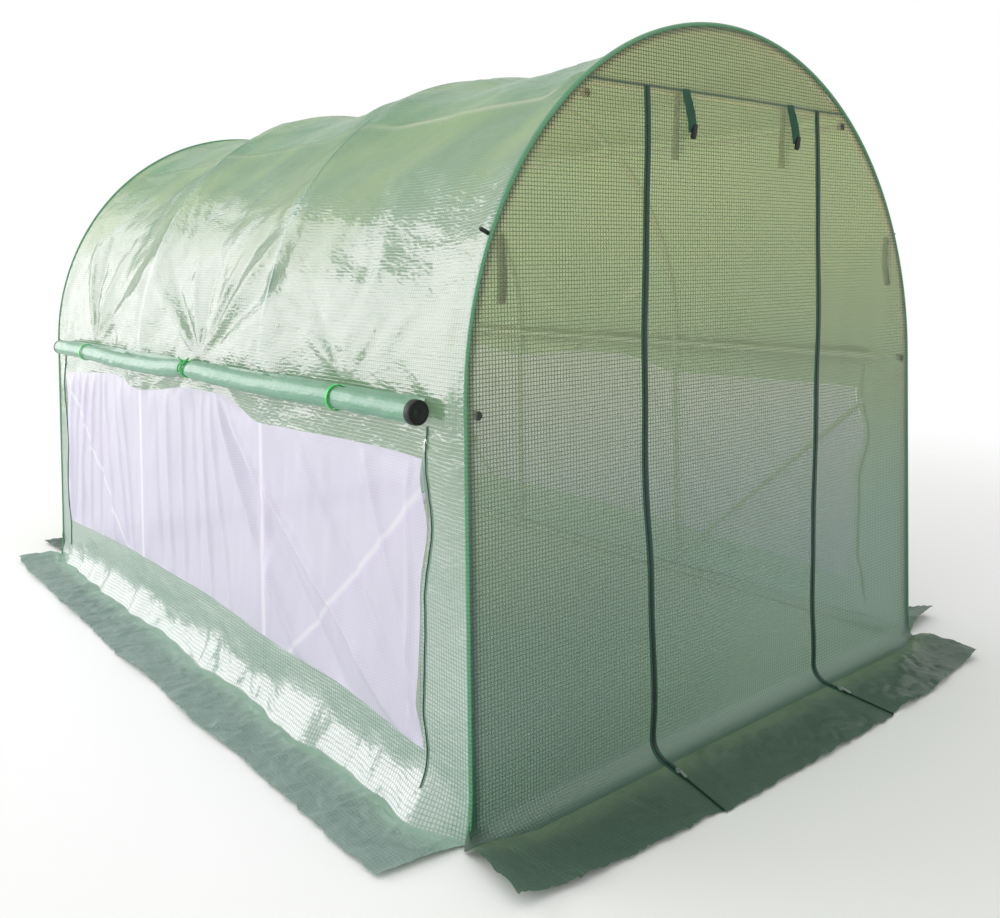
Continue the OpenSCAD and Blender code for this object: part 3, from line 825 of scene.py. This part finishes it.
# near and far places of the skirts' ends
SIDE_ENDS = (-END_Y, -1.472), (END_Y, 1.520)
BACK_ENDS = (-ARCH_R, -1.02), (ARCH_R, 1.01)
DOOR_ENDS = (-0.374, -0.446), (0.399, 0.358)
LEFT_ENDS = (-ARCH_R - 0.038, -1.078), DOOR_ENDS[0]
RIGHT_ENDS = DOOR_ENDS[1], (ARCH_R, 0.975)
lay_skirt("left_skirt", lit_skirt_film, "left",
          [skirt_grid(SIDE_ENDS, 41, side_reach, side_begin, (0.004, 0.014))])
lay_skirt("right_skirt", shaded_skirt_film, "right",
          [skirt_grid(SIDE_ENDS, 51, side_reach, side_begin, (0.030, 0.006))])
lay_skirt("back_skirt", shaded_skirt_film, "back",
          [skirt_grid(BACK_ENDS, 61, back_reach, end_begin, (0.008, 0.012))])
lay_skirt("front_skirts", shaded_skirt_film, "front",
          [skirt_grid(LEFT_ENDS, 71, front_reach, end_begin, (0.030, 0), ["end"]),
           skirt_grid(RIGHT_ENDS, 75, front_reach, end_begin, (0, 0.020), ["start"])])
lay_skirt("door_skirt", shaded_skirt_film, "front",
          [skirt_grid(DOOR_ENDS, 81, front_reach, end_begin, (0, 0), ["start", "end"])])


# Window covers. The same film cut to cover a window, sewn to the wall above it and wound up on itself
# outwards into a roll along the window head, hung in clips and drawn in by a cord tied round its middle.
# Layer upon layer, the film is no longer clear and looks a deeper mint green.
wound_film = dense_film("wound_threaded_film", ("#78ad8d",) * 3, ("#6ca284", "#8dbb9d"), "#6aa585",
                        0.10, 0.34, 0.6)
ROLL_OUT = 1.0356 - ARCH_R
ROLL_Z = 0.985
ROLL_R = 0.0325
ROLL_HALF = 1.345
ROLL_COLS = 210
LAYER = 0.0022
TURNS = 4.1
START_TURN = math.radians(28)
SEWN_Z, SEWN_LIFT = 1.014, 0.0015
CREASE_R = 0.033
CLIP_Y = 1.0


def roll_droop(y):
    """How far the roll's middle line hangs below or is pulled above its straight run."""
    return flowing(y, [-1.35, -1.0, -0.5, TIE_Y, 0.25, 0.55, 1.0, 1.35],
                   [0.000, 0.001, -0.003, 0.005, -0.008, -0.010, 0.000, 0.002])


def roll_girth(y):
    """The roll's thickness along it, drawn in at the tie and a little under the clips."""
    drawn_in = 0.24 * spot(y - TIE_Y, 0.035) + 0.06 * spot(np.abs(y) - CLIP_Y, 0.02)
    return 0.97 + 0.035 * waves(y, 0.5, 91) - drawn_in


def run_along(path):
    """Distance along a path at each of its points."""
    return np.concatenate([[0], np.cumsum(np.linalg.norm(np.diff(path, axis=0), axis=1))])


y = np.linspace(-ROLL_HALF, ROLL_HALF, ROLL_COLS + 1)[None, :]
wind = np.concatenate([np.linspace(0, 1.5, 60)[:-1], np.linspace(1.5, TURNS, 70)])[:, None] * 2 * math.pi
around = CREASE_R * np.mod(wind, 2 * math.pi)
radius = (ROLL_R - LAYER * wind / (2 * math.pi)) * roll_girth(y)
radius = radius + 0.0007 * ripples(y, around, 0.16, 92, 2.0) + 0.0011 * crushed(y, 1.6 * around, 0.08, 94)
turn = START_TURN + wind + 0.5 * waves(y, 0.9, 93) * np.clip(wind / 6, 0, 1)
out = ROLL_OUT - radius * np.cos(turn)
height = ROLL_Z + roll_droop(y) + radius * np.sin(turn)
sewn = np.linspace(0, 1, 7)[:-1, None]
sewn_out = cover_out(SEWN_Z + 0 * y, y) + SEWN_LIFT
out = np.concatenate([sewn_out + sewn * (out[:1] - sewn_out), out])
height = np.concatenate([SEWN_Z + sewn * (height[:1] - SEWN_Z), height])
lengths = run_along(np.stack([out, height], -1)[:, ROLL_COLS // 2])[:, None]
pattern = np.stack([y + 0 * out, lengths + 0 * out], -1)
for side, sign in (("left", -1), ("right", 1)):
    points = np.stack([sign * (ARCH_R + out), y + 0 * out, height], -1)
    order = slice(None, None, -sign)
    rolled = sheet_piece(f"{side}_window_roll", points[order], pattern[order], wound_film)
    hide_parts(f"{side}_window_roll")


# Roll caps. Moulded black polyethylene plugs in the ends of the rolls, with a rounded rim round a
# sunk face.
SHARP = math.radians(38)


def solid_piece(name, *skins):
    """Closed forms as one piece with a UV map in metres. Skins are pairs of a material and its forms, each
    form a row of rings."""
    corners, faces, kinds, pattern = [], [], [], []
    for kind, rings in [(kind, rings) for kind, (material, forms) in enumerate(skins) for rings in forms]:
        rows, around = rings.shape[:2]
        first = len(corners)
        corners.extend(rings.reshape(-1, 3).tolist())
        run = run_along(rings.mean(1))
        step = np.linalg.norm(rings[rows // 2] - np.roll(rings[rows // 2], 1, 0), axis=1).mean()
        for i in range(rows - 1):
            for j in range(around):
                k = (j + 1) % around
                faces.append([first + i * around + j, first + i * around + k,
                              first + (i + 1) * around + k, first + (i + 1) * around + j])
                pattern += [(run[i], j * step), (run[i], (j + 1) * step),
                            (run[i + 1], (j + 1) * step), (run[i + 1], j * step)]
        for end in (0, rows - 1):
            faces.append([first + end * around + j for j in range(around)])
            pattern += [(run[end], j * step) for j in range(around)]
        kinds += [kind] * (len(faces) - len(kinds))
    mesh = bpy.data.meshes.new(name)
    mesh.from_pydata(corners, [], faces)
    mesh.uv_layers.new(name="metres").data.foreach_set("uv", np.array(pattern).ravel())
    for material, forms in skins:
        mesh.materials.append(material)
    mesh.polygons.foreach_set("material_index", kinds)
    piece = add_piece(name, mesh)
    shell = bmesh.new()
    shell.from_mesh(mesh)
    bmesh.ops.recalc_face_normals(shell, faces=shell.faces)
    shell.to_mesh(mesh)
    shell.free()
    mesh.set_sharp_from_angle(angle=SHARP)
    return piece


def turned_rings(profile, centre, axis, side, around=40):
    """Rings of a turned form: pairs of radius and place along its axis."""
    axis, side = np.array(axis, float), np.array(side, float)
    angle = np.linspace(0, 2 * math.pi, around, endpoint=False)
    circle = np.cos(angle)[:, None] * side + np.sin(angle)[:, None] * np.cross(axis, side)
    return np.array([np.array(centre) + along * axis + radius * circle for radius, along in profile])


def roll_middle(sign, y):
    """The left or right roll's middle at a place along it."""
    return np.array([sign * (ARCH_R + ROLL_OUT), y, ROLL_Z + roll_droop(y)])


ENDS = [(sign, end) for sign in (-1, 1) for end in (-1, 1)]
CAP_PROFILE = [(0.0004, -0.010), (0.0270, -0.010), (0.0285, -0.001), (0.0306, 0.0), (0.0312, 0.002),
               (0.0312, 0.0175), (0.0304, 0.0205), (0.0288, 0.0218), (0.0268, 0.0216), (0.0256, 0.0200),
               (0.0250, 0.0172), (0.0240, 0.0165), (0.0100, 0.0160), (0.0085, 0.0172), (0.0004, 0.0175)]
caps = [turned_rings(CAP_PROFILE, roll_middle(sign, end * ROLL_HALF), (0, end, 0), (1, 0, 0))
        for sign, end in ENDS]
roll_caps = solid_piece("roll_caps", (black_polyethylene, caps))
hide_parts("roll_caps")


# Roll clips. Springy bright green polypropylene C-clips, sprung over the roll with flared lips at the
# wall side. Smooth moulded plastic, so it has a clear gloss and faint flow marks.
FLOW_MARK = 0.012
CLIP_R = 0.0318
CLIP_W, CLIP_T = 0.013, 0.0034
green_polypropylene, tree = new_material("moulded_green_polypropylene")
place = add_node(tree, "TexCoord").outputs["Object"]
flow = add_node(tree, "TexNoise", {"Vector": place, "Scale": 1 / FLOW_MARK, "Detail": 2.0})
leaf = add_node(tree, "Mix", {0: flow, 6: "#12b23a", 7: "#2fd457"}, data_type="RGBA")
gloss = add_node(tree, "MapRange", {"Value": flow, "To Min": 0.22, "To Max": 0.38})
shade = add_node(tree, "BsdfPrincipled", {"Base Color": leaf, "Roughness": gloss})
add_node(tree, "OutputMaterial", {"Surface": shade})


def swept_rings(path, across, outward, section):
    """Rings of a strip swept along a path; section gives places across and outward from the path."""
    section = np.array(section, float)
    return path[:, None, :] + section[..., :1] * across[:, None, :] + section[..., 1:] * outward[:, None, :]


def rounded_section(width, thick, lift=0.0):
    """A flat section with rounded long edges, standing on lift."""
    half, edge = width / 2, thick / 2
    flat = half - edge * 0.6
    return [(-half, lift + edge), (-flat, lift), (flat, lift), (half, lift + edge), (flat, lift + thick),
            (-flat, lift + thick)]


clips = []
angle = np.radians(np.linspace(44, 316, 44))
lips = np.clip((np.abs(angle - math.pi) - math.radians(122)) / math.radians(14), 0, 1)
across = np.tile([0.0, 1.0, 0.0], (len(angle), 1))
for sign, end in ENDS:
    spoke = np.stack([-sign * np.cos(angle), 0 * angle, np.sin(angle)], -1)
    path = roll_middle(sign, end * CLIP_Y) + (CLIP_R + 0.003 * lips ** 2)[:, None] * spoke
    clips.append(swept_rings(path, across, spoke, rounded_section(CLIP_W, CLIP_T)))
roll_clips = solid_piece("roll_clips", (green_polypropylene, clips))
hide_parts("roll_clips")


# Roll ties. A length of bright green twisted polypropylene cord, 5 mm thick, wound twice round the
# roll's middle and knotted, with two small loops and two short ends. It looks leaf green with fine ribs.
# A strand shows as a slanting rib of 6 mm, of which half is the value here.
CORD_R = 0.0025
STRAND = 0.003
TIE_R = 0.0268
KNOT_OUT, KNOT_UP = 0.0145, 0.0255
green_cord, tree = new_material("twisted_green_polypropylene_cord")
flat = flat_place(tree)
twist = add_node(tree, "Math", [flat[0], flat[1]], operation="ADD")
twist = add_node(tree, "Math", [twist, STRAND], operation="PINGPONG")
strand = add_node(tree, "MapRange", [twist, 0.0, STRAND])
leaf = add_node(tree, "Mix", {0: strand, 6: "#0f8f31", 7: "#35d65c"}, data_type="RGBA")
raised = add_node(tree, "Bump", {"Height": strand, "Strength": 0.6, "Distance": 0.001})
shade = add_node(tree, "BsdfPrincipled", {"Base Color": leaf, "Roughness": 0.42, "Normal": raised})
add_node(tree, "OutputMaterial", {"Surface": shade})


def headings(path):
    """Unit vectors along a path."""
    ahead = np.gradient(path, axis=0)
    return ahead / np.linalg.norm(ahead, axis=1)[:, None]


def cord_rings(path, around=10):
    """Rings of a round cord along a path."""
    ahead = headings(path)
    aside = np.cross(ahead, (0.31, 0.17, 0.93))
    aside /= np.linalg.norm(aside, axis=1)[:, None]
    angle = np.linspace(0, 2 * math.pi, around, endpoint=False)
    section = CORD_R * np.stack([np.cos(angle), np.sin(angle)], -1)
    return swept_rings(path, aside, np.cross(ahead, aside), section)


ties = []
angle = np.radians(np.linspace(120, 120 + 690, 90))
aside = np.linspace(-0.007, 0.007, 90) + 0.004 * np.sin(angle)
reach = TIE_R + 0.0012 * np.sin(3 * angle)
loop = np.linspace(0, 2 * math.pi * 1.35, 40)
tail = np.linspace(0, 1, 18)
for sign in (-1, 1):
    middle = roll_middle(sign, TIE_Y)
    knot = middle + (sign * KNOT_OUT, 0.0, KNOT_UP)
    paths = [middle + np.stack([-sign * reach * np.cos(angle), aside, reach * np.sin(angle)], -1)]
    for lean in (-1, 1):
        loop_up = 0.009 * np.sin(loop) * lean + 0.004 * (1 - np.cos(loop))
        paths.append(knot + np.stack([sign * 0.010 * np.sin(loop),
                                      lean * (0.004 + 0.013 * (1 - np.cos(loop))), loop_up], -1))
        paths.append(knot + np.stack([sign * 0.016 * np.sin(2.2 * tail), lean * 0.020 * tail,
                                      -0.034 * tail ** 1.6], -1))
    ties += [cord_rings(path) for path in paths]
roll_ties = solid_piece("roll_ties", (green_cord, ties))
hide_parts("roll_ties")


# Door zips. Two coil zips, black nylon coils on dark green woven tape, sewn down both edges of the
# door and out across the skirt, with metal sliders left at the bottom of the door.
# The tape looks dull and ribbed, the coil has a slight gloss and the sliders shine, scuffed by use.
# The tape's ribs are about 1 mm and the coil's turns 2.5 mm; both are drawn twice as coarse.
RIB, COIL_TURN = 0.002, 0.005
WEAR, SCUFF = 0.025, 0.01 / 3
# width, thickness and lift off the film
DOOR_TAPE, DOOR_COIL = (0.025, 0.0012, 0.0005), (0.0085, 0.0030, 0.0012)
DOOR_SLIDER_Y = -1.588


def ribbed(name, low, high, pitch, direction, rough):
    """Woven or coiled stuff in two tones, ribbed along one direction of its flat pattern."""
    material, tree = new_material(name)
    rib = add_node(tree, "Math", [flat_place(tree)[direction], pitch / 2], operation="PINGPONG")
    rib = add_node(tree, "MapRange", [rib, 0.0, pitch / 2])
    place = add_node(tree, "TexCoord").outputs["Object"]
    wear = add_node(tree, "TexNoise", {"Vector": place, "Scale": 1 / WEAR, "Detail": 3.0})
    tone = add_node(tree, "Math", [rib, 0.7, wear], operation="MULTIPLY_ADD")
    tone = add_node(tree, "MapRange", [tone, 0.3, 1.4])
    dyed = add_node(tree, "Mix", {0: tone, 6: low, 7: high}, data_type="RGBA")
    raised = add_node(tree, "Bump", {"Height": rib, "Strength": 0.5, "Distance": pitch / 4})
    shade = add_node(tree, "BsdfPrincipled", {"Base Color": dyed, "Roughness": rough, "Normal": raised})
    add_node(tree, "OutputMaterial", {"Surface": shade})
    return material


zip_tape = ribbed("woven_zip_tape", "#1a4034", "#2f6450", RIB, 1, 0.75)
zip_coil = ribbed("black_nylon_zip_coil", "#070d0b", "#1a2622", COIL_TURN, 0, 0.35)
slider_metal, tree = new_material("plated_zip_slider")
place = add_node(tree, "TexCoord").outputs["Object"]
scuff = add_node(tree, "TexNoise", {"Vector": place, "Scale": 1 / SCUFF, "Detail": 2.0})
worn = add_node(tree, "MapRange", {"Value": scuff, "To Min": 0.18, "To Max": 0.42})
shade = add_node(tree, "BsdfPrincipled", {"Base Color": "#c9ccca", "Metallic": 1.0, "Roughness": worn})
add_node(tree, "OutputMaterial", {"Surface": shade})


def bent_down(edge, near, far):
    """Line of a door zip from its top, down the wall, round the bend and out along the skirt."""
    straight = np.linspace(HEAD_Z, FOOT_Z + BEND_R, 150)[:-1]
    z = np.concatenate([straight, foot_z[::-1]])
    x = edge(z)
    y = -(END_Y + np.concatenate([0 * straight, foot_out[::-1]]) + wall_slack(x, z, FRONT_SEED))
    run = np.linspace(0, 1, 28)[1:]
    brim = -(END_Y + front_reach(far))
    x = np.concatenate([x, near + run * (far - near)])
    y = np.concatenate([y, y[-1] + run * (brim - y[-1])])
    return np.stack([x, y, np.concatenate([z, FOOT_Z + 0 * run])], -1)


# a slider's body, as places along it and shares of its width, and its tab, as places, widths and lifts
SLIDER_BODY = (0.0, 0.35), (0.004, 0.9), (0.010, 1.0), (0.014, 0.62)
SLIDER_TAB = ((0.006, 0.004, 0.0075), (0.012, 0.005, 0.0080), (0.018, 0.008, 0.0070), (0.034, 0.009, 0.0050),
              (0.038, 0.006, 0.0045))


def slider_forms(place, ahead, across, outward, scale):
    """A zip slider's body with its pull tab hanging ahead."""
    body = np.array(rounded_section(0.012, 0.0055, 0.0015))
    slices = [[(at, body * (share, 1)) for at, share in SLIDER_BODY],
              [(at, np.array(rounded_section(width, 0.0018, lift))) for at, width, lift in SLIDER_TAB]]
    return [np.array([place + scale * (at * ahead + section[:, :1] * across + section[:, 1:] * outward)
                      for at, section in form]) for form in slices]


tapes, coils, sliders = [], [], []
for edge, ends in zip((left_zip, right_zip), DOOR_ENDS):
    path = bent_down(edge, *ends)
    ahead = headings(path)
    across = np.tile([1.0, 0.0, 0.0], (len(path), 1))
    outward = np.cross(across, ahead)
    outward /= np.linalg.norm(outward, axis=1)[:, None]
    outward = -outward if outward[0, 1] > 0 else outward
    narrow = np.interp(-path[:, 1], [1.58, 1.62, 1.66], [1.0, 0.80, 0.30])[:, None]
    tapes.append(swept_rings(path, across * narrow, outward, rounded_section(*DOOR_TAPE)))
    coils.append(swept_rings(path, across * np.maximum(narrow, 0.5), outward, rounded_section(*DOOR_COIL)))
    at = int(np.argmin(np.abs(path[:, 1] - DOOR_SLIDER_Y)))
    step = path[at + 1] - path[at]
    sliders += slider_forms(path[at], step / np.linalg.norm(step), across[at], outward[at], 1.25)
door_zips = solid_piece("door_zips", (zip_tape, tapes), (zip_coil, coils))
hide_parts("door_zips")


# Window zips. Fine coil zips beside the windows, for closing the covers when they are let down; each
# follows the cover's slack edge and has its small slider at the top.
WINDOW_TAPE, WINDOW_COIL = (0.009, 0.0010, 0.0008), (0.0036, 0.0022, 0.0014)
WINDOW_SLIDER = 86
pale_tape = ribbed("woven_pale_zip_tape", "#5f8f78", "#86b39c", RIB, 1, 0.75)
tapes, coils = [], []
up = np.linspace(0.072, 0.945, 90)
for sign in (-1, 1):
    for edge, beside in ((window_front, -0.020), (window_back, 0.014)):
        y = edge(up) + beside
        girth = up if sign < 0 else GIRTH - up
        path = cover_place(girth, y, cover_out(girth, y))
        ahead = headings(path)
        outward = np.tile([float(sign), 0, 0], (len(up), 1))
        across = np.cross(ahead, outward)
        tapes.append(swept_rings(path, across, outward, rounded_section(*WINDOW_TAPE)))
        coils.append(swept_rings(path, across, outward, rounded_section(*WINDOW_COIL)))
        sliders += slider_forms(path[WINDOW_SLIDER], -ahead[WINDOW_SLIDER], across[WINDOW_SLIDER],
                                outward[WINDOW_SLIDER], 0.8)
window_zips = solid_piece("window_zips", (pale_tape, tapes), (zip_coil, coils))
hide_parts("window_zips")
zip_sliders = solid_piece("zip_sliders", (slider_metal, sliders))


# Straps and toggles. Green woven webbing, about 25 mm wide: two short outer ends over the door with black
# toggles and two longer inner ends behind the film, to tie up the rolled door, and a loose tie on each
# side of the front hoop, its black toggle pushed out through the cover.
# The webbing looks dull and dark. Its ribs are about 1.5 mm, and drawn twice as coarse.
WEBBING_RIB = 0.003
webbing = ribbed("green_woven_webbing", "#173a2b", "#2f5f49", WEBBING_RIB, 1, 0.8)
OUTER_DROP, INNER_DROP, LOOSE_DROP = 0.118, 0.196, 0.165
STRAP_W = 0.024
STRAP_X = {-1: -0.215, 1: 0.288}
HOOP_TIE = math.radians(23.9)
DOOR_TOGGLE = [(0.0005, -0.020), (0.0062, -0.0195), (0.0078, -0.017), (0.0078, 0.017), (0.0062, 0.0195),
               (0.0005, 0.020)]
HOOP_TOGGLE = [(0.0005, 0.0), (0.0050, 0.0005), (0.0054, 0.004), (0.0054, 0.026), (0.0042, 0.0295),
               (0.0005, 0.030)]


def strip_points(path, turn):
    """A strap along a path, turned about the upright, as a grid of points with its pattern."""
    share = STRAP_W * np.linspace(-0.5, 0.5, 5)
    across = np.stack([np.cos(turn), np.sin(turn), 0 * turn], -1)
    points = path[:, None, :] + share[:, None] * across[:, None, :]
    return points, np.stack(np.meshgrid(run_along(path), share, indexing="ij"), -1)


strips, toggles = [], []
down = np.linspace(0, 1, 25)
for sign in (-1, 1):
    x = STRAP_X[sign]
    wall_y = -(END_Y + wall_slack(np.array(x), np.array(1.75), FRONT_SEED))
    outer = np.stack([x + 0.022 * down ** 1.5, wall_y - 0.003 - 0.010 * np.sin(2.4 * down),
                      HEAD_Z + 0.004 - OUTER_DROP * down], -1)
    inner = np.stack([x - 0.008 - 0.010 * down, -1.4880 + 0.004 * np.sin(2.0 * down),
                      HEAD_Z + 0.008 - INNER_DROP * down], -1)
    loose = np.stack([sign * (0.884 - 0.008 * np.sin(3.1 * down)), -1.4900 + 0.003 * np.sin(4 * down),
                      1.405 - LOOSE_DROP * down], -1)
    strips += [strip_points(outer, -0.35 - 0.25 * np.sin(2.5 * down)), strip_points(inner, -0.3 * down),
               strip_points(loose, -0.347 + 0 * down)]
    toggles.append(turned_rings(DOOR_TOGGLE, outer[-1] + (0, -0.004, 0.002), (0.26, 0, 0.966), (0, 1, 0), 20))
    spoke = np.array([sign * math.cos(HOOP_TIE), 0.0, math.sin(HOOP_TIE)])
    on_hoop = (ARCH_R - 0.001) * spoke + (0, HOOP_Y[0], LEG)
    toggles.append(turned_rings(HOOP_TOGGLE, on_hoop, spoke, (0, 1, 0), 20))
points, pattern, keep = ends_join(strips)
tie_straps = sheet_piece("tie_straps", points, pattern, webbing, keep)
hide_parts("tie_straps")
strap_toggles = solid_piece("strap_toggles", (black_polyethylene, toggles))
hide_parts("strap_toggles")


# Edge hems. Where the end walls meet the cover, the two films are folded together and welded into a
# narrow raised hem that follows the hoop from the ground over the arch to the ground.
# Four layers of film look a strong, almost opaque green, painted a little darker up high: a painted shade, as
# on the cover.
hem_film = dense_film("welded_film_hem", ("#58a87c", "#4a9460", "#559c66"), ("#3f8a5c", "#4b9a68"), "#3f8f60",
                      0.12, 0.30, 0.5)
HEM_W, HEM_T, HEM_IN = 0.0055, 0.0045, 0.003
hems = []
span = np.concatenate([np.linspace(FOOT_Z, 0.15, 20)[:-1], np.linspace(0.15, LEG, 60)[:-1]])
span = np.concatenate([span, np.linspace(LEG, GIRTH - LEG, 150)[:-1], GIRTH - span[::-1]])
angle = np.linspace(0, 2 * math.pi, 10, endpoint=False)
turn = np.clip((span - LEG) / ARCH_R, 0, math.pi)
outward = np.stack([-np.cos(turn), 0 * turn, np.sin(turn)], -1)
thick = 1 + 0.45 * eased((up_from_ground(span) - 1.25) / 0.6)[:, None]
section = np.stack([thick * HEM_W * np.cos(angle) - HEM_IN, thick * HEM_T * np.sin(angle)], -1)
for end in (-1, 1):
    y = end * END_Y + 0 * span
    across = np.tile([0.0, float(end), 0.0], (len(span), 1))
    hems.append(swept_rings(cover_place(span, y, cover_out(span, y)), across, outward, section))
edge_hems = solid_piece("edge_hems", (hem_film, hems))
